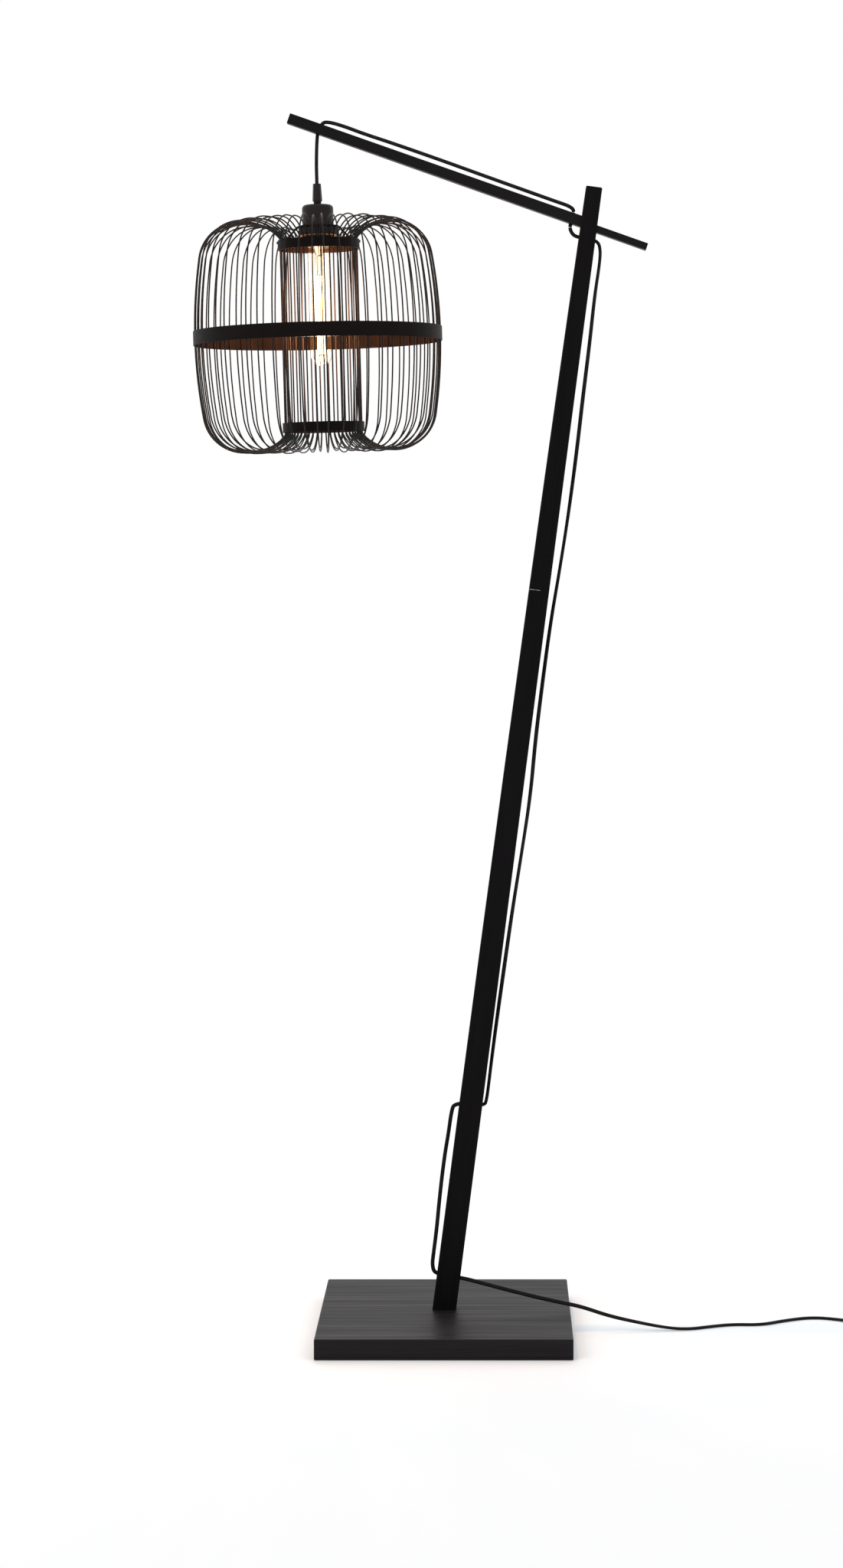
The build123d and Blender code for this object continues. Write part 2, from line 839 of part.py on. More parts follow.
def make_centre_contact():
    """A bent spring tongue under the insert that meets the bulb's tip."""
    pad = block(9.6, 6.0, skirt_top + fit_gap, skirt_top + 1.4)
    drop = Pos(4.2, 0, 0) * block(0.6, 5.0, contact_top + seat_gap + 0.5, skirt_top + 0.2)
    foot = Pos(1.7, 0, 0) * block(5.6, 5.0, contact_top + seat_gap, contact_top + seat_gap + 0.6)
    return pad + drop + foot


def terminal_screw(side):
    low = skirt_top + fit_gap
    head = rod(5.2, low + insert_thickness + 0.05, low + insert_thickness + 2.2)
    shank = rod(3.0, low + 4.0, low + insert_thickness + 0.1)
    slot = Pos(0, 0, low + insert_thickness + 2.2) * Box(6.0, 0.9, 1.4)
    return Pos(side * 8.0, 0, 0) * (head + shank - slot)


def make_ring_nut():
    """The wide knurled ring that runs on the skirt and clamps the carrier."""
    high = cup_bottom - carrier_thickness - 2 * seat_gap
    body = rod(ring_nut_diameter, ring_nut_bottom, high)
    body = chamfer(body.edges().filter_by(GeomType.CIRCLE), 0.8)
    body -= rod(ring_nut_diameter - 9.0, ring_nut_bottom - 1, high - 3.5)
    body -= rod(skirt_diameter + 2 * ring_nut_clearance, ring_nut_bottom - 1, high + 1)
    groove_count = 16
    groove = block(2.0, 2.2, ring_nut_bottom + 1.5, high - 1.5)
    for k in range(groove_count):
        body -= Rot(0, 0, 360 * k / groove_count + 11) * Pos(ring_nut_diameter / 2 + 0.4, 0, 0) * groove
    return body


# ---------------------------------------------------------------- shade

ring_inner = core_radius + wire_diameter / 2 + fit_gap
ring_outer = ring_inner + ring_thickness
hoop_inner = hoop_diameter / 2 - hoop_thickness


def band(inner, thickness, level, height):
    outer = inner + thickness
    body = rod(2 * outer, level - height / 2, level + height / 2, 2 * inner)
    return chamfer(body.edges().filter_by(GeomType.CIRCLE), 0.25)


def arm_angles():
    """The arms reach the ring midway between two wires."""
    return [180 / wire_count + 360 / arm_count * k for k in range(arm_count)]


def make_carrier():
    """The flat ring under the cup with its sloping rods to the top ring."""
    high = cup_bottom - seat_gap
    body = rod(carrier_diameter, high - carrier_thickness, high, skirt_diameter + 0.8)
    start = (carrier_diameter / 2 - 0.4, 0, high - carrier_thickness / 2)
    end = (ring_inner - fit_gap, 0, arm_rod_low)
    bend = (end[0] - 6.0, 0, arm_rod_low)
    path = FilletPolyline(start, bend, end, radius=4.0)
    section = Plane(origin=start, z_dir=Vector(*bend) - Vector(*start)) * Circle(arm_rod_diameter / 2)
    single = sweep(section, path=Wire(path.edges()))
    single -= rivet_hole()
    for angle in arm_angles():
        body += Rot(0, 0, angle) * single
    return body - rod(skirt_diameter + 0.8, high - 10, high + 5)


def rivet_hole():
    hole = Rot(0, 90, 0) * Cylinder(rivet_diameter / 2 + fit_gap, 8)
    return Pos(ring_inner, 0, arm_rod_low) * hole


def rivet():
    shank = rod(rivet_diameter, -3.6, ring_thickness + 0.1)
    head = Pos(0, 0, ring_thickness + fit_gap) * rod(rivet_head, 0, 1.3)
    head = fillet(head.faces().sort_by(Axis.Z)[-1].edges(), 0.9)
    return Pos(ring_inner, 0, arm_rod_low) * Rot(0, 90, 0) * (shank + head)


def wire_angle(index):
    return 360 * index / wire_count


def bow_yaw(index):
    """How far a bow turns off the straight outward line, in degrees, as hand-bent wires do."""
    return wire_yaw * (math.sin(2.3 * index) + 0.6 * math.sin(4.9 * index + 1.0))


def bow_reach(index):
    """Distance from the rod to the bow's centre line at the hoop, which is a little off centre."""
    angle = math.radians(wire_angle(index))
    toward = angle + math.radians(bow_yaw(index))
    x = core_radius * math.cos(angle) - hoop_shift
    y = core_radius * math.sin(angle)
    radius = hoop_inner - wire_diameter / 2 - fit_gap
    along = x * math.cos(toward) + y * math.sin(toward)
    return -along + math.sqrt(along**2 + radius**2 - x**2 - y**2)


def bow_solid(reach, crest):
    """A bent wire from the ring, over the shoulder and down to the hoop."""
    flare = crest - flare_level
    shoulder_x = reach - shoulder_inset
    lean = solve_lean(crest)
    vertex_x = shoulder_x + crest * math.tan(lean)
    straight = belly_radius * math.tan(lean)
    joint = Vector(vertex_x - straight * math.sin(lean), 0, straight * math.cos(lean))
    heading = Vector(math.sin(lean), 0, -math.cos(lean))
    start = (0, 0, ring_level)
    corners = [start, (0, 0, flare_level), (flare, 0, crest), (shoulder_x, 0, crest), tuple(joint)]
    head = FilletPolyline(*corners, radius=[flare_radius, crest_radius, shoulder_radius])
    belly = TangentArc(joint, (reach, 0, 0), tangent=heading)
    path = Wire([*head.edges(), *belly.edges()])
    return sweep(Plane.XY.offset(ring_level) * Circle(wire_diameter / 2), path=path)


def solve_lean(crest):
    """The slope of the bow's side whose belly arc ends upright at the hoop."""
    lean = math.radians(8.0)
    for _ in range(30):
        sag = belly_radius * (1 / math.cos(lean) - 1)
        lean = math.atan((shoulder_inset + sag) / crest)
    return lean


def make_wires():
    rods = []
    upper = []
    lower = []
    for k in range(wire_count):
        place = Rot(0, 0, wire_angle(k)) * Pos(core_radius, 0, 0)
        crest = crest_level + crest_vary * math.sin(3.7 * k + 0.5)
        bow = bow_solid(bow_reach(k), crest)
        turned = place * Rot(0, 0, bow_yaw(k))
        if k % wires_per_rod:
            rods.append(place * rod(wire_diameter, -ring_level, ring_level))
        upper.append(turned * bow)
        lower.append(turned * mirror(bow, about=Plane.XY))
    return rods, upper, lower


# ---------------------------------------------------------------- bulb


def make_glass():
    """A thin tube with a round tip and a neck that enters the cap."""
    outer = bulb_diameter / 2
    inner = outer - bulb_glass_wall
    neck = cap_diameter / 2 - 1.2
    tip_centre = bulb_tip + outer
    profile = Curve() + [
        ThreePointArc(
            (0, bulb_tip),
            (outer * math.sin(math.pi / 4), tip_centre - outer * math.cos(math.pi / 4)),
            (outer, tip_centre),
        ),
        Line((outer, tip_centre), (outer, bulb_neck)),
        Line((outer, bulb_neck), (neck, cap_bottom + 1)),
        Line((neck, cap_bottom + 1), (neck, cap_bottom + 5)),
        Line((neck, cap_bottom + 5), (neck - bulb_glass_wall, cap_bottom + 5)),
        Line((neck - bulb_glass_wall, cap_bottom + 5), (neck - bulb_glass_wall, cap_bottom + 1)),
        Line((neck - bulb_glass_wall, cap_bottom + 1), (inner, bulb_neck)),
        Line((inner, bulb_neck), (inner, tip_centre)),
        ThreePointArc(
            (inner, tip_centre),
            (inner * math.sin(math.pi / 4), tip_centre - inner * math.cos(math.pi / 4)),
            (0, tip_centre - inner),
        ),
        Line((0, tip_centre - inner), (0, bulb_tip)),
    ]
    return revolve(Plane.XZ * make_face(profile), Axis.Z)


def make_cap():
    inner = cap_diameter - 1.0
    body = rod(cap_diameter, cap_bottom, cap_top, inner)
    end = cone(cap_diameter, 12.0, cap_top, cap_top + 1.6)
    body += end - cone(inner, 11.0, cap_top - 0.1, cap_top + 1.7)
    ridge_count = 5
    for k in range(ridge_count):
        level = cap_bottom + 6.0 + 3.4 * k
        body -= rod(cap_diameter + 1, level, level + 1.5) - rod(cap_diameter - 0.6, level - 1, level + 3)
    return body


def make_stem():
    """The glass foot inside the neck that carries the filaments."""
    flare_low = 112.0
    wide = cap_diameter - 2 * (1.2 + bulb_glass_wall) - 0.1
    flare = cone(8.0, wide, flare_low, cap_bottom + 4.6)
    return flare + rod(8.0, stem_bottom, flare_low + 0.1)


def filament_places(radius):
    for k in range(filament_count):
        angle = 2 * math.pi * k / filament_count
        yield radius * math.cos(angle), radius * math.sin(angle)


def filament(x, y):
    return Pos(x, y, 0) * rod(filament_diameter, filament_bottom, filament_top)


def make_supports():
    """The middle wire with a spoked hub at each end of the filaments."""
    body = rod(1.2, filament_bottom - 1.6, stem_bottom - fit_gap)
    for level in (filament_bottom - 0.05, filament_top + 0.05):
        side = -1 if level < 0 else 1
        low = min(level, level + side * 1.2)
        body += rod(2 * filament_circle + 1.6, low, low + 1.2)
    return body


# ---------------------------------------------------------------- write every piece

blade = eased_blade()
post_lower, post_upper = cut_post(blade)
save("base_board", make_base())
save("foot_plate", make_foot_plate())
save("base_bolts", *[Pos(x, 0, 0) * base_bolt() for x in bolt_places()])
save("post_inserts", *[Pos(x, 0, 0) * post_insert() for x in bolt_places()])
save("post_lower", post_lower)
save("post_upper", post_upper)
save("lap_screws", *[post_place * lap_screw(level) for level in lap_screw_levels])
bore = lap_screw_diameter + 2 * fit_gap
save("lap_inserts", *[post_place * lap_insert(level, 0, bore) for level in lap_screw_levels])
save("arm", make_arm(blade))
save("arm_lock_screw", lock_screw())

save("lead_arm", tube(arm_route, cord_width, "lead_arm"))
save("lead_loop", tube(loop_route, cord_width, "lead_loop"))
save("lead_upper", tube(upper_route, cord_width, "lead_upper"))
save("lead_lower", tube(lower_route, cord_width, "lead_lower"))
save("lead_floor", tube(floor_route, cord_width, "lead_floor"))
save("lead_tail", tube(tail_route, cord_width, "lead_tail"))
save("lead_plug_end", tube(plug_route, cord_width, "lead_plug_end"))
coil_section = Plane(origin=coil_wire @ 0, z_dir=coil_wire % 0) * Circle(cord_width / 2)
save("lead_coil", sweep(coil_section, path=coil_wire))
print("lead_coil length", round(coil_wire.length, 1), "least gap", round(coil_gap(coil_wire), 3))
save("coil_tie", make_tie())

switch_lower, switch_upper = make_switch()
save("switch_lower_shell", switch_place() * switch_lower)
save("switch_upper_shell", switch_place() * switch_upper)
save("switch_screws", *[switch_place() * Pos(x, y, 0) * switch_screw() for x, y in screw_places()])
save("switch_contacts", *[switch_place() * switch_contact(x) for x in (-5.5, 5.5)])
pin_half = rocker_width / 2 + rocker_gap + 2.4
rocker_pin = Pos(0, 0, rocker_pivot_height) * pin_bar(rocker_pin_diameter, 2 * pin_half)
save("rocker_pin", switch_place() * rocker_pin)
save("switch_rocker", switch_place() * make_rocker())
save("plug_body", make_plug())
save("plug_pins", plug_pin(-1), plug_pin(1))
save("plug_relief", make_relief())

cord_upper, cord_lower, cord_tail = make_pendant_cord()
save("pendant_cord_upper", cord_upper)
save("pendant_cord_lower", cord_lower)
save("pendant_cord_tail", cord_tail)
save("cord_grip", pendant_place * make_grip())
save("grip_nipple", pendant_place * make_nipple())
save("holder_cup", pendant_place * make_cup())
save("holder_skirt", pendant_place * make_skirt())
save("holder_insert", pendant_place * make_insert())
save("contact_shell", pendant_place * make_contact_shell())
save("centre_contact", pendant_place * make_centre_contact())
save("terminal_screws", *[pendant_place * terminal_screw(side) for side in (-1, 1)])
save("retaining_ring", pendant_place * make_ring_nut())
save("shade_carrier", pendant_place * make_carrier())

top_ring = band(ring_inner, ring_thickness, ring_level, ring_height)
for angle in arm_angles():
    top_ring -= Rot(0, 0, angle) * rivet_hole()
save("top_ring", pendant_place * top_ring)
save("bottom_ring", pendant_place * band(ring_inner, ring_thickness, -ring_level, ring_height))
save("carrier_rivets", *[pendant_place * Rot(0, 0, angle) * rivet() for angle in arm_angles()])
save("hoop", pendant_place * Pos(hoop_shift, 0, 0) * band(hoop_inner, hoop_thickness, 0, hoop_height))
core_rods, upper_bows, lower_bows = make_wires()
save("core_rods", *[pendant_place * w for w in core_rods])
save("upper_bows", *[pendant_place * w for w in upper_bows])
save("lower_bows", *[pendant_place * w for w in lower_bows])

save("bulb_glass", pendant_place * make_glass())
save("bulb_cap", pendant_place * make_cap())
save("bulb_insulator", pendant_place * cone(10.8, 9.0, cap_top + 0.3, cap_top + 2.2))
save("bulb_contact", pendant_place * cone(8.0, 6.0, cap_top + 2.25, contact_top))
save("bulb_stem", pendant_place * make_stem())
save("bulb_filaments", *[pendant_place * filament(x, y) for x, y in filament_places(filament_circle)])
save("filament_supports", pendant_place * make_supports())
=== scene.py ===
import math

import bpy
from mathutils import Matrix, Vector


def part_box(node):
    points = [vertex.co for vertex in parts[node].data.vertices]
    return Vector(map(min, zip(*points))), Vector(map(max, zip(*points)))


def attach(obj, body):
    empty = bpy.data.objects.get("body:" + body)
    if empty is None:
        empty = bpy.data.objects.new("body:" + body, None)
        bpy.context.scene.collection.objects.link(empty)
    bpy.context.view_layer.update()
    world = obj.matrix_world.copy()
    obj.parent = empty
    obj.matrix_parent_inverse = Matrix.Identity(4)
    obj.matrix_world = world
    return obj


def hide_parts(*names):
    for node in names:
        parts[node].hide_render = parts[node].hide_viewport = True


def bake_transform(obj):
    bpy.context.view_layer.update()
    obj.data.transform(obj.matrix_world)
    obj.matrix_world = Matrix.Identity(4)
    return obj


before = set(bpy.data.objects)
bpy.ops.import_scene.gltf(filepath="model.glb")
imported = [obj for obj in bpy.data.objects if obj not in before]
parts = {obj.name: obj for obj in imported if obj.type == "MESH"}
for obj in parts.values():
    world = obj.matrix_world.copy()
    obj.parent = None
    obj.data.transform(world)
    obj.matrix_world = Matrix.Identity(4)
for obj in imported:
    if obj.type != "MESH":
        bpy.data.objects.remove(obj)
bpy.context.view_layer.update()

print("frame loaded:", len(parts), "nodes")


# camera
camera = {
    "place": (0.0639, -4.1125, 1.030),
    "lens": 67.13,
    "shiftX": -0.0444,
    "shiftY": -0.1201,
}


def addCamera():
    data = bpy.data.cameras.new("camera")
    data.lens = camera["lens"]
    data.shift_x = camera["shiftX"]
    data.shift_y = camera["shiftY"]
    seat = bpy.data.objects.new("camera", data)
    seat.location = camera["place"]
    seat.rotation_euler = (math.radians(90), 0, 0)
    bpy.context.scene.collection.objects.link(seat)
    bpy.context.scene.camera = seat


addCamera()
print("camera placed")


# cords
cordShape = {
    "width": 0.0056,
    "thick": 0.0037,
    "waist": 0.00018,  # how far the groove between the two cores goes in
    "grooveStart": 0.45,  # where the groove starts, as a share of the way to the round side
    "grooveEase": 0.35,  # how deep it is there, as a share of the waist
    "sideSteps": 8,
    "smoothness": 8,
}


def cordOutline():  # flat twin lead: two round sides and a shallow groove on each face
    radius = cordShape["thick"] / 2
    reach = cordShape["width"] / 2 - radius
    brink = reach * cordShape["grooveStart"]
    brinkHeight = radius - cordShape["waist"] * cordShape["grooveEase"]
    points = []
    for side in (1, -1):
        for step in range(cordShape["sideSteps"] + 1):
            turn = math.radians(-90 + 180 * step / cordShape["sideSteps"])
            points.append((side * (reach + radius * math.cos(turn)), side * radius * math.sin(turn)))
        points.append((side * brink, side * brinkHeight))
        points.append((0.0, side * (radius - cordShape["waist"])))
        points.append((-side * brink, side * brinkHeight))
    return points


def cordSection():
    data = bpy.data.curves.new("cordSection", "CURVE")
    line = data.splines.new("POLY")
    outline = cordOutline()
    line.points.add(len(outline) - 1)
    for point, (x, y) in zip(line.points, outline):
        point.co = (x, y, 0, 1)
    line.use_cyclic_u = True
    shape = bpy.data.objects.new("cordSection", data)
    shape.hide_render = True
    shape.hide_viewport = True
    bpy.context.scene.collection.objects.link(shape)
    return shape


section = cordSection()


def smoothLine(name, points, turns):
    data = bpy.data.curves.new(name, "CURVE")
    data.dimensions = "3D"
    data.resolution_u = cordShape["smoothness"]
    line = data.splines.new("NURBS")
    line.points.add(len(points) - 1)
    for point, place, turn in zip(line.points, points, turns):
        point.co = (*place, 1)
        point.tilt = math.radians(turn)
    line.order_u = 3
    line.use_endpoint_u = True
    return data


def plainMesh(shape):
    bpy.context.view_layer.update()
    seen = shape.evaluated_get(bpy.context.evaluated_depsgraph_get())
    return bpy.data.meshes.new_from_object(seen)


def addCord(name, points, replaced, twist="Z_UP", turns=None):
    data = smoothLine(name, points, turns or [0] * len(points))
    data.twist_mode = twist
    guide = bpy.data.objects.new("cordGuide", data)
    bpy.context.scene.collection.objects.link(guide)
    route = [tuple(vertex.co) for vertex in plainMesh(guide).vertices]
    data.bevel_mode = "OBJECT"
    data.bevel_object = section
    data.use_fill_caps = True
    lead = bpy.data.objects.new(name, plainMesh(guide))
    bpy.data.objects.remove(guide)
    bpy.context.scene.collection.objects.link(lead)
    lead.data.shade_smooth()
    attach(lead, "stand")
    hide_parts(*replaced)
    return lead, route


slantTurn = 60  # turn of the lead along the arm and at the loop, in degrees from lying flat
armLine = [
    (-0.1800, 0.0, 1.6811), (-0.1749, 0.0, 1.6954), (-0.1638, 0.0, 1.6962), (-0.1430, 0.0, 1.6902),
    (-0.1160, 0.0006, 1.6800), (-0.0750, 0.0010, 1.6666), (-0.0100, -0.0006, 1.6437),
    (0.0600, 0.0010, 1.6186), (0.1180, 0.0, 1.5977), (0.1570, 0.0002, 1.5838), (0.1750, 0.0, 1.5776),
    (0.1815, 0.0, 1.5708), (0.1777, 0.0, 1.5600),
]
loopLine = [
    (0.1777, 0.0, 1.5600), (0.1740, 0.0, 1.5494), (0.1766, 0.0, 1.5406), (0.1832, 0.0, 1.5342),
    (0.1991, 0.0, 1.5321),
]
upperLine = [
    (0.1991, 0.0, 1.5321), (0.2135, 0.0, 1.5302), (0.2180, 0.0, 1.5159), (0.2158, 0.0004, 1.4919),
    (0.2099, 0.0015, 1.4549), (0.2025, 0.0025, 1.3850), (0.1931, 0.0015, 1.3100),
    (0.1846, 0.0025, 1.2350), (0.1737, 0.0010, 1.1520), (0.1618, 0.0020, 1.0750),
    (0.1475, 0.0035, 0.9920), (0.1362, 0.0025, 0.9080), (0.1263, 0.0035, 0.8280),
    (0.1194, 0.0020, 0.7499), (0.1072, 0.0030, 0.6700), (0.0940, 0.0015, 0.5890),
    (0.0824, 0.0025, 0.5081), (0.0718, 0.0010, 0.4330), (0.0644, 0.0006, 0.3760),
    (0.0604, 0.0002, 0.3420), (0.0576, 0.0, 0.3217), (0.0547, 0.0, 0.3123), (0.0364, 0.0, 0.3147),
]
upperTurns = [40, 40, 30, 25, 40, 60, 85, 110, 145, 155, 135, 110, 85, 50, 30, 50, 90, 125, 145, 150, 150,
              150, 150]
lowerLine = [
    (0.0364, 0.0, 0.3147), (0.0122, 0.0, 0.3179), (0.0076, 0.0002, 0.3020), (0.0042, 0.0008, 0.2760),
    (-0.0015, 0.0015, 0.2430), (-0.0080, 0.0020, 0.1900), (-0.0126, 0.0012, 0.1400),
    (-0.0170, 0.0005, 0.1060), (-0.0192, 0.0, 0.0880), (-0.0147, 0.0, 0.0757), (0.0041, 0.0, 0.0732),
]
lowerTurns = [90, 90, 80, 60, 75, 90, 90, 80, 80, 90, 90]
floorLine = [
    (0.0041, 0.0, 0.0732), (0.0250, 0.0, 0.0704), (0.0560, -0.0040, 0.0628), (0.0940, -0.0095, 0.0542),
    (0.1320, -0.0140, 0.0458), (0.1660, -0.0185, 0.0396), (0.1920, -0.0200, 0.0344),
    (0.2280, -0.0180, 0.0216), (0.2720, -0.0130, 0.0106), (0.3140, -0.0135, 0.0030),
    (0.3430, -0.0130, 0.0019), (0.3720, 0.0010, 0.0019), (0.4050, 0.0135, 0.0019),
    (0.4450, 0.0105, 0.0019), (0.4820, 0.0365, 0.0019), (0.5220, 0.0540, 0.0019),
    (0.5580, 0.0410, 0.0019), (0.5840, 0.0205, 0.0030), (0.6030, 0.0140, 0.0075),
    (0.6170, 0.0140, 0.0075),
]
floorTurns = [60, 60, 60, 60, 60, 55, 50, 40, 20] + [0] * 11
storeStart = [
    (0.6750, 0.0140, 0.0075), (0.6900, 0.0140, 0.0072), (0.7030, 0.0132, 0.0034),
    (0.7164, 0.0120, 0.0020),
]
storeEnd = [
    (0.7164, 0.0982, 0.0080), (0.7044, 0.0974, 0.0074), (0.6820, 0.0940, 0.0070),
    (0.6475, 0.0940, 0.0070),
]
coil = {
    "centre": (0.734, 0.052),
    "outer": 0.040,
    "step": 0.0031,
    "halfTurns": 5,
    "lowHeight": 0.0020,
    "highHeight": 0.0062,
    "stepsPerHalf": 6,
}


def coilPoints():  # in along one flat layer, up, and out again along the next
    x, startY = coil["centre"][0], coil["centre"][1] - coil["outer"]
    inward = [coil["outer"] - coil["step"] * k for k in range(coil["halfTurns"])]
    innermost = coil["outer"] - coil["step"] * coil["halfTurns"]
    radii = inward + [innermost] + inward[::-1]
    # the curve runs inside its points, so they are moved out until it has the wanted radius
    stretch = 1 / (0.75 + 0.25 * math.cos(math.pi / coil["stepsPerHalf"]))
    points, y, side = [], startY, -1
    for index, radius in enumerate(radii):
        centreY = y - side * radius
        for step in range(coil["stepsPerHalf"]):
            turn = math.pi * (step + 0.5) / coil["stepsPerHalf"]
            share = index + (step + 0.5) / coil["stepsPerHalf"] - coil["halfTurns"]
            rise = min(max(share, 0.0), 1.0)
            height = coil["lowHeight"] + (coil["highHeight"] - coil["lowHeight"]) * rise
            points.append((
                x - side * radius * stretch * math.sin(turn),
                centreY + side * radius * stretch * math.cos(turn),
                height,
            ))
        y -= 2 * side * radius
        side = -side
    return points


# The pendant's cord in three lengths that meet squarely, so that each bends at one joint only
pendantLine = [
    (-0.1800, 0.0, 1.6811), (-0.1806, 0.0, 1.6774), (-0.18098, -0.00109, 1.6690),
    (-0.1816, -0.0029, 1.6550), (-0.18158, -0.00333, 1.6350), (-0.18158, -0.00341, 1.6312),
    (-0.18090, -0.00260, 1.6065), (-0.18069, -0.00234, 1.5972),
]
pendantTurn = 38.0  # degrees from edge-on to the view from the front


def addHangingCord(name, points, replaced):
    guide = bpy.data.objects.new("cordGuide", smoothLine(name, points, [0] * len(points)))
    bpy.context.scene.collection.objects.link(guide)
    route = [tuple(vertex.co) for vertex in plainMesh(guide).vertices]
    bpy.data.objects.remove(guide)
    turn = math.radians(90 - pendantTurn)
    along, across = (math.cos(turn), math.sin(turn)), (-math.sin(turn), math.cos(turn))
    outline = cordOutline()
    count = len(outline)
    corners = [(x + u * along[0] + v * across[0], y + u * along[1] + v * across[1], z)
               for x, y, z in route for u, v in outline]
    faces = [(ring * count + k, ring * count + (k + 1) % count,
              (ring + 1) * count + (k + 1) % count, (ring + 1) * count + k)
             for ring in range(len(route) - 1) for k in range(count)]
    faces.append(tuple(range(count))[::-1])
    faces.append(tuple(range((len(route) - 1) * count, len(route) * count)))
    mesh = bpy.data.meshes.new(name)
    mesh.from_pydata(corners, [], faces)
    mesh.shade_smooth()
    mesh.update()
    lead = bpy.data.objects.new(name, mesh)
    bpy.context.scene.collection.objects.link(lead)
    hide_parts(*replaced)
    return lead, route


def addCords():
    switch = [parts[n] for n in ("switch_lower_shell", "switch_upper_shell", "switch_screws",
                                 "switch_contacts", "rocker_pin", "switch_rocker")]
    plug = [parts[n] for n in ("plug_body", "plug_pins", "plug_relief", "coil_tie")]
    made = []

    def declare(result, length, **facts):
        lead, route = result
        made.append(lead)

    declare(addCord("leadAlongArm", armLine, ["lead_arm"], "Z_UP", [slantTurn] * len(armLine)), 0.404,
            far_end="object", lay="taut")
    declare(addCord("leadLoop", loopLine, ["lead_loop"], "Z_UP", [slantTurn] * len(loopLine)), 0.045,
            far_end="object")
    declare(addCord("leadBesidePost", upperLine, ["lead_upper"], "MINIMUM", upperTurns), 1.26,
            far_end="object", lay="hanging")
    declare(addCord("leadLowStretch", lowerLine, ["lead_lower"], "MINIMUM", lowerTurns), 0.285,
            far_end="object", lay="hanging")
    declare(addCord("leadOnFloor", floorLine, ["lead_floor"], "Z_UP", floorTurns), 0.646, far_end="object",
            with_pieces=switch)
    declare(addCord("leadStored", storeStart + coilPoints() + storeEnd,
                    ["lead_tail", "lead_coil", "lead_plug_end"]), 1.285, far_end="plug", lay="coiled",
            with_pieces=plug)

    top = addHangingCord("pendantCordTop", pendantLine[:3], ["pendant_cord_upper"])[0]
    middle, middleRoute = addHangingCord("pendantCordMiddle", pendantLine[2:5], ["pendant_cord_lower"])
    low, lowRoute = addHangingCord("pendantCordLow", pendantLine[4:], ["pendant_cord_tail"])
    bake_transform(top)
    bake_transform(middle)
    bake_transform(low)
    return made + [top, middle, low]


cords = addCords()
print("cords laid:", len(cords))


# materials
class Finish:  # a principled material with short calls for its nodes
    def __init__(self, name):
        self.made = bpy.data.materials.new(name)
        self.made.use_nodes = True
        self.tree = self.made.node_tree
        self.shader = self.tree.nodes["Principled BSDF"]
        self.place = self.add("ShaderNodeTexCoord").outputs["Object"]

    def add(self, kind, **values):
        node = self.tree.nodes.new(kind)
        for key, value in values.items():
            if key in node.inputs:
                node.inputs[key].default_value = value
            else:
                setattr(node, key, value)
        return node

    def join(self, start, end):
        self.tree.links.new(start, end)

    def set(self, **values):
        for key, value in values.items():
            self.shader.inputs[key.replace("_", " ")].default_value = value

    def stretched(self, scale, turn=(0, 0, 0)):
        turned = self.add("ShaderNodeMapping", Rotation=turn)
        self.join(self.place, turned.inputs["Vector"])
        sized = self.add("ShaderNodeMapping", Scale=scale)
        self.join(turned.outputs["Vector"], sized.inputs["Vector"])
        return sized.outputs["Vector"]

    def noise(self, where, scale=1.0, detail=4.0, rough=0.55):
        node = self.add("ShaderNodeTexNoise", Scale=scale, Detail=detail, Roughness=rough)
        self.join(where, node.inputs["Vector"])
        return node.outputs["Fac"]

    def ramp(self, value, stops):
        node = self.add("ShaderNodeValToRGB")
        while len(node.color_ramp.elements) < len(stops):
            node.color_ramp.elements.new(0.5)
        for element, (position, colour) in zip(node.color_ramp.elements, stops):
            element.position = position
            element.color = (*colour, 1)
        self.join(value, node.inputs["Fac"])
        return node.outputs["Color"]

    def span(self, value, low, high, start=0.3, end=0.7):
        node = self.add("ShaderNodeMapRange")
        for key, number in zip(("From Min", "From Max", "To Min", "To Max"), (start, end, low, high)):
            node.inputs[key].default_value = number
        self.join(value, node.inputs["Value"])
        return node.outputs["Result"]

    def mixed(self, share, first, second, mode="MIX"):
        node = self.add("ShaderNodeMix", data_type="RGBA", blend_type=mode)
        self.join(share, node.inputs["Factor"])
        for socket, colour in ((node.inputs[6], first), (node.inputs[7], second)):
            if isinstance(colour, tuple):
                socket.default_value = (*colour, 1)
            else:
                self.join(colour, socket)
        return node.outputs[2]

    def bump(self, height, strength, distance, under=None):
        node = self.add("ShaderNodeBump", Strength=strength, Distance=distance)
        self.join(height, node.inputs["Height"])
        if under:
            self.join(under, node.inputs["Normal"])
        return node.outputs["Normal"]


wood = {
    "dark": (0.0054, 0.0045, 0.0052),
    "light": (0.0140, 0.0120, 0.0138),
    "poreShade": (0.0022, 0.0020, 0.0020),
    "across": 170.0,
    "along": 4.0,
    "roughLow": 0.36,
    "roughHigh": 0.56,
    "grainBump": 0.25,
    "grainDepth": 0.00025,
    "broadShare": 0.6,
    "poreShare": 0.75,
    "poreBump": 0.35,
    "poreDepth": -0.0001,
    "postLean": 7.61,  # degrees
    "armDrop": 19.5,  # degrees
}


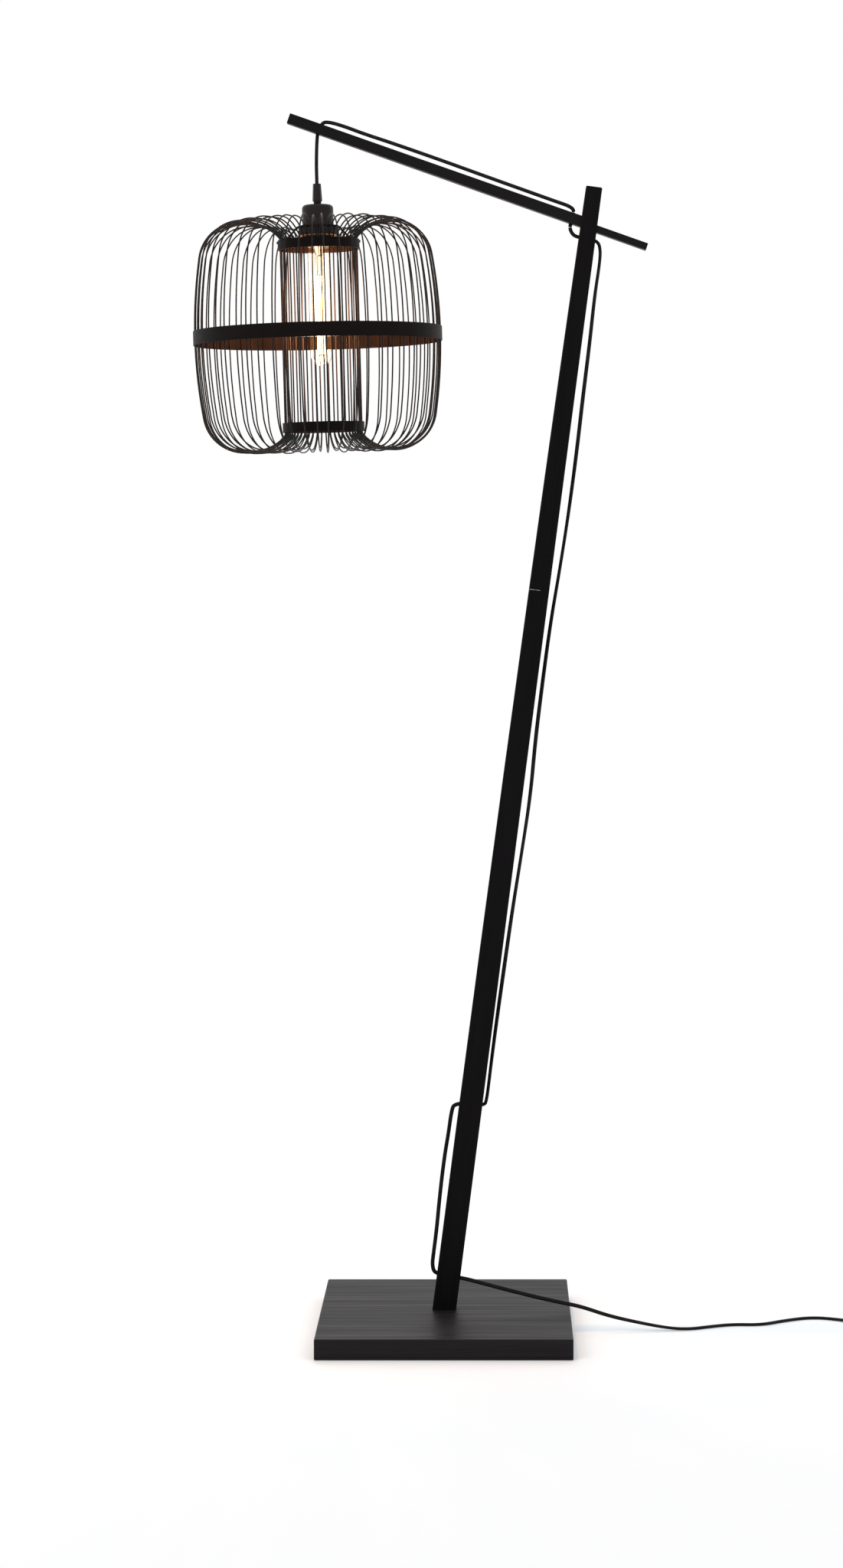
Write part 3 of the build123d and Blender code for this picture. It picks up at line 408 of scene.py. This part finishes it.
def woodFinish(name, turn, lift, specular):  # turn brings the grain onto X; lift scales the colour for lit and shaded copies of the wood, painted light and shade
    finish = Finish(name)
    across, along = wood["across"], wood["along"]
    fine = finish.noise(finish.stretched((along, across, across), turn), 1.0, 5.0, 0.6)
    wide = finish.noise(finish.stretched((along * 0.5, across * 0.16, across * 0.16), turn), 1.0, 3.0)
    pores = finish.noise(finish.stretched((along * 5, across * 6, across * 6), turn), 1.0, 2.0, 0.7)
    dark = tuple(v * lift for v in wood["dark"])
    light = tuple(v * lift for v in wood["light"])
    grain = finish.ramp(fine, [(0.32, dark), (0.68, light)])
    broad = finish.span(wide, 0.0, wood["broadShare"])
    shade = finish.mixed(broad, grain, light)
    poreShare = finish.span(pores, 0.0, wood["poreShare"], 0.60, 0.72)
    shade = finish.mixed(poreShare, shade, wood["poreShade"])
    finish.join(shade, finish.shader.inputs["Base Color"])
    finish.join(finish.span(fine, wood["roughLow"], wood["roughHigh"]), finish.shader.inputs["Roughness"])
    finish.set(Specular_IOR_Level=specular)
    normal = finish.bump(fine, wood["grainBump"], wood["grainDepth"])
    normal = finish.bump(poreShare, wood["poreBump"], wood["poreDepth"], normal)
    finish.join(normal, finish.shader.inputs["Normal"])
    return finish.made


plain = {  # colour low, colour high, rough low, rough high, metal, specular, grain size, bump
    "blackenedSteel": ((0.0036, 0.0022, 0.0020), (0.0060, 0.0038, 0.0034),
                       0.42, 0.58, 0.0, 0.06, 420, 0.10),
    "wireSteel": ((0.0036, 0.0024, 0.0022), (0.0060, 0.0042, 0.0038), 0.28, 0.42, 0.0, 0.16, 420, 0.10),
    "cordSheath": ((0.0040, 0.0034, 0.0034), (0.0070, 0.0060, 0.0060), 0.38, 0.52, 0.0, 0.12, 900, 0.12),
    "switchPlastic": ((0.0100, 0.0098, 0.0100), (0.0150, 0.0145, 0.0150),
                      0.36, 0.48, 0.0, 0.35, 1500, 0.10),
    "holderPlastic": ((0.0110, 0.0084, 0.0078), (0.0150, 0.0118, 0.0108), 0.30, 0.44, 0.0, 0.16, 900, 0.10),
    "zincSteel": ((0.52, 0.52, 0.50), (0.66, 0.66, 0.63), 0.28, 0.46, 1.0, 0.5, 700, 0.10),
    "brass": ((0.60, 0.43, 0.18), (0.76, 0.57, 0.27), 0.22, 0.40, 1.0, 0.5, 700, 0.08),
    "ceramic": ((0.72, 0.70, 0.64), (0.80, 0.78, 0.73), 0.20, 0.34, 0.0, 0.5, 300, 0.05),
    "blackScrew": ((0.016, 0.016, 0.016), (0.028, 0.028, 0.028), 0.30, 0.45, 0.0, 0.4, 900, 0.08),
}


def plainFinish(name):
    low, high, roughLow, roughHigh, metal, specular, grain, bump = plain[name]
    finish = Finish(name)
    small = finish.noise(finish.stretched((1, 1, 1)), grain, 4.0)
    large = finish.noise(finish.stretched((1, 1, 1)), grain * 0.06, 3.0)
    finish.join(finish.ramp(large, [(0.35, low), (0.65, high)]), finish.shader.inputs["Base Color"])
    finish.join(finish.span(small, roughLow, roughHigh), finish.shader.inputs["Roughness"])
    finish.join(finish.bump(small, bump, 0.0001), finish.shader.inputs["Normal"])
    finish.set(Metallic=metal, Specular_IOR_Level=specular)
    return finish.made


glass = {
    "tint": (1.0, 0.91, 0.77),
    "roughLow": 0.01,
    "roughHigh": 0.03,
    "ior": 1.45,
    # faint orange emission on the glass and stem: painted glow standing in for the filaments' light
    # scattered in the glass
    "paintedGlow": (1.0, 0.42, 0.12),
    "paintedGlowStrength": 0.03,
    "smearSize": 60,
}


def glassFinish():
    finish = Finish("bulbGlass")
    smear = finish.noise(finish.stretched((1, 1, 0.3)), glass["smearSize"], 3.0)
    rough = finish.span(smear, glass["roughLow"], glass["roughHigh"])
    finish.join(rough, finish.shader.inputs["Roughness"])
    # the emission here is painted glow on the glass, not a lamp
    finish.set(Base_Color=(*glass["tint"], 1), Transmission_Weight=1.0, IOR=glass["ior"],
               Emission_Color=(*glass["paintedGlow"], 1), Emission_Strength=glass["paintedGlowStrength"])
    return finish.made


glow = {
    "strength": 40.0,
    "dim": (1.0, 0.48, 0.13),
    "bright": (1.0, 0.58, 0.20),
    "base": (0.9, 0.6, 0.3),
}


def glowFinish():
    finish = Finish("filamentGlow")
    along = finish.noise(finish.stretched((200, 200, 40)), 1.0, 2.0)
    finish.join(finish.ramp(along, [(0.3, glow["dim"]), (0.7, glow["bright"])]),
                finish.shader.inputs["Emission Color"])
    finish.set(Base_Color=(*glow["base"], 1), Emission_Strength=glow["strength"], Roughness=0.6)
    return finish.made


def dress(names, material):
    for name in names:
        data = parts[name].data
        data.materials.clear()
        data.materials.append(material)


def addMaterials():
    lean = math.radians(90 - wood["postLean"])
    # One stained wood in lit and shaded copies: its colour is scaled to 0.42 on the post and 0.5 on the arm
    # against 1.0 on the base board. That is painted shade on the post and arm, and painted light on the
    # base board, whose top is lit from above.
    postWoodShaded = woodFinish("stainedPostWoodShadedCopy", (0, lean, 0), 0.42, 0.045)
    armWoodShaded = woodFinish("stainedArmWoodShadedCopy", (0, math.radians(-wood["armDrop"]), 0), 0.5, 0.10)
    baseWoodLit = woodFinish("stainedBaseWoodLitCopy", (0, 0, 0), 1.0, 0.11)
    dress(["post_lower", "post_upper"], postWoodShaded)
    dress(["arm"], armWoodShaded)
    dress(["base_board"], baseWoodLit)
    steel = plainFinish("blackenedSteel")
    dress(["top_ring", "bottom_ring", "hoop", "shade_carrier", "carrier_rivets"], steel)
    dress(["core_rods", "upper_bows", "lower_bows"], plainFinish("wireSteel"))
    sheath = plainFinish("cordSheath")
    dress(["pendant_cord_upper", "pendant_cord_lower", "pendant_cord_tail", "lead_arm", "lead_loop",
           "lead_upper", "lead_lower", "lead_floor", "lead_tail", "lead_coil", "lead_plug_end"], sheath)
    for lead in cords:
        lead.data.materials.append(sheath)
    dress(["switch_lower_shell", "switch_upper_shell", "switch_rocker", "plug_body", "plug_relief",
           "coil_tie"], plainFinish("switchPlastic"))
    dress(["foot_plate", "base_bolts", "grip_nipple", "switch_screws", "rocker_pin"],
          plainFinish("zincSteel"))
    dress(["post_inserts", "lap_inserts", "plug_pins", "switch_contacts", "contact_shell",
           "centre_contact", "terminal_screws", "bulb_cap", "bulb_contact"], plainFinish("brass"))
    dress(["cord_grip", "holder_cup", "holder_skirt", "retaining_ring"], plainFinish("holderPlastic"))
    dress(["holder_insert", "bulb_insulator"], plainFinish("ceramic"))
    dress(["bulb_glass", "bulb_stem"], glassFinish())
    dress(["bulb_filaments"], glowFinish())
    dress(["lap_screws", "arm_lock_screw", "filament_supports"], plainFinish("blackScrew"))


addMaterials()
print("materials made")


# light and floor
studio = {
    "roomLight": 0.55,
    "floorShade": (0.80, 0.83, 0.855),
    "floorLift": 0.125,
    "floorSize": 14.0,
    "floorFadeStart": 0.7,  # where the floor starts to go over into plain white, from its middle
    "floorFadeEnd": 1.5,
    "lamps": [  # place, aim, size, watts
        ((-2.6, -2.4, 3.4), (0.0, 0.0, 0.8), 2.6, 55.0),
        ((2.4, -1.2, 3.6), (0.0, 0.0, 0.8), 2.4, 30.0),
        ((0.2, 2.6, 3.6), (0.0, 0.0, 0.6), 2.4, 45.0),
        ((-0.9, 3.2, 1.3), (0.0, 0.0, 0.0), 2.0, 34.0),
    ],
    "bulbColour": (1.0, 0.50, 0.20),
    "bulbWatts": 14.0,
    "bulbSpots": (0.2, 0.5, 0.8),  # shares of the way up the filaments
    "bulbSoftness": 0.008,
    "floorDrop": 0.0002,
}


def addWorld():
    world = bpy.data.worlds.new("room")
    world.use_nodes = True
    tree = world.node_tree
    tree.nodes.clear()
    rays = tree.nodes.new("ShaderNodeLightPath")
    direct = tree.nodes.new("ShaderNodeMath")
    direct.operation = "MAXIMUM"
    tree.links.new(rays.outputs["Is Camera Ray"], direct.inputs[0])
    tree.links.new(rays.outputs["Is Glossy Ray"], direct.inputs[1])
    seen = tree.nodes.new("ShaderNodeMath")
    seen.operation = "MAXIMUM"
    tree.links.new(direct.outputs[0], seen.inputs[0])
    tree.links.new(rays.outputs["Is Transmission Ray"], seen.inputs[1])
    strength = tree.nodes.new("ShaderNodeMapRange")
    strength.inputs["To Min"].default_value = studio["roomLight"]
    strength.inputs["To Max"].default_value = 1.0
    tree.links.new(seen.outputs[0], strength.inputs["Value"])
    sky = tree.nodes.new("ShaderNodeBackground")
    tree.links.new(strength.outputs["Result"], sky.inputs["Strength"])
    end = tree.nodes.new("ShaderNodeOutputWorld")
    tree.links.new(sky.outputs[0], end.inputs["Surface"])
    sky.inputs["Color"].default_value = (1, 1, 1, 1)
    bpy.context.scene.world = world


def addFloor():
    half = studio["floorSize"] / 2
    mesh = bpy.data.meshes.new("floor")
    mesh.from_pydata([(-half, -half, 0), (half, -half, 0), (half, half, 0), (-half, half, 0)], [],
                     [(0, 1, 2, 3)])
    floor = bpy.data.objects.new("floor", mesh)
    floor.location.z = -studio["floorDrop"]
    bpy.context.scene.collection.objects.link(floor)
    finish = bpy.data.materials.new("paleFloor")
    finish.use_nodes = True
    tree = finish.node_tree
    tree.nodes.clear()
    matt = tree.nodes.new("ShaderNodeBsdfDiffuse")
    matt.inputs["Color"].default_value = (*studio["floorShade"], 1)
    lift = tree.nodes.new("ShaderNodeEmission")
    rays = tree.nodes.new("ShaderNodeLightPath")
    seen = tree.nodes.new("ShaderNodeMath")
    seen.operation = "MAXIMUM"
    tree.links.new(rays.outputs["Is Camera Ray"], seen.inputs[0])
    tree.links.new(rays.outputs["Is Glossy Ray"], seen.inputs[1])
    amount = tree.nodes.new("ShaderNodeMath")
    amount.operation = "MULTIPLY"
    amount.inputs[1].default_value = studio["floorLift"]
    tree.links.new(seen.outputs[0], amount.inputs[0])
    tree.links.new(amount.outputs[0], lift.inputs["Strength"])
    both = tree.nodes.new("ShaderNodeAddShader")
    tree.links.new(matt.outputs[0], both.inputs[0])
    tree.links.new(lift.outputs[0], both.inputs[1])
    place = tree.nodes.new("ShaderNodeTexCoord")
    distance = tree.nodes.new("ShaderNodeVectorMath")
    distance.operation = "LENGTH"
    tree.links.new(place.outputs["Object"], distance.inputs[0])
    far = tree.nodes.new("ShaderNodeMapRange")
    far.interpolation_type = "SMOOTHSTEP"
    far.inputs["From Min"].default_value = studio["floorFadeStart"]
    far.inputs["From Max"].default_value = studio["floorFadeEnd"]
    tree.links.new(distance.outputs["Value"], far.inputs["Value"])
    white = tree.nodes.new("ShaderNodeEmission")
    blend = tree.nodes.new("ShaderNodeMixShader")
    tree.links.new(far.outputs["Result"], blend.inputs["Fac"])
    tree.links.new(both.outputs[0], blend.inputs[1])
    tree.links.new(white.outputs[0], blend.inputs[2])
    end = tree.nodes.new("ShaderNodeOutputMaterial")
    tree.links.new(blend.outputs[0], end.inputs["Surface"])
    mesh.materials.append(finish)


def addLamps():
    for index, (place, aim, size, watts) in enumerate(studio["lamps"]):
        data = bpy.data.lights.new(f"softLamp{index}", "AREA")
        data.shape = "SQUARE"
        data.size = size
        data.energy = watts
        lamp = bpy.data.objects.new(f"softLamp{index}", data)
        lamp.location = place
        lamp.rotation_euler = (Vector(aim) - Vector(place)).to_track_quat("-Z", "Y").to_euler()
        lamp.visible_camera = False
        lamp.visible_glossy = False
        bpy.context.scene.collection.objects.link(lamp)


def addBulbLight():
    low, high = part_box("bulb_filaments")
    centre = (low + high) / 2
    for share in studio["bulbSpots"]:
        data = bpy.data.lights.new("bulbLight", "POINT")
        data.energy = studio["bulbWatts"] / len(studio["bulbSpots"])
        data.color = studio["bulbColour"]
        data.shadow_soft_size = studio["bulbSoftness"]
        lamp = bpy.data.objects.new("bulbLight", data)
        lamp.location = (centre.x, centre.y, low.z + (high.z - low.z) * share)
        lamp.visible_camera = False
        lamp.visible_transmission = False
        lamp.visible_glossy = False
        bpy.context.scene.collection.objects.link(lamp)
        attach(lamp, "bulb")
    for name in ("bulb_glass", "bulb_stem", "bulb_filaments", "filament_supports"):
        parts[name].visible_shadow = False


addWorld()
addFloor()
addLamps()
addBulbLight()
bpy.context.scene.view_settings.view_transform = "Standard"
print("light and floor set")

bpy.context.view_layer.update()
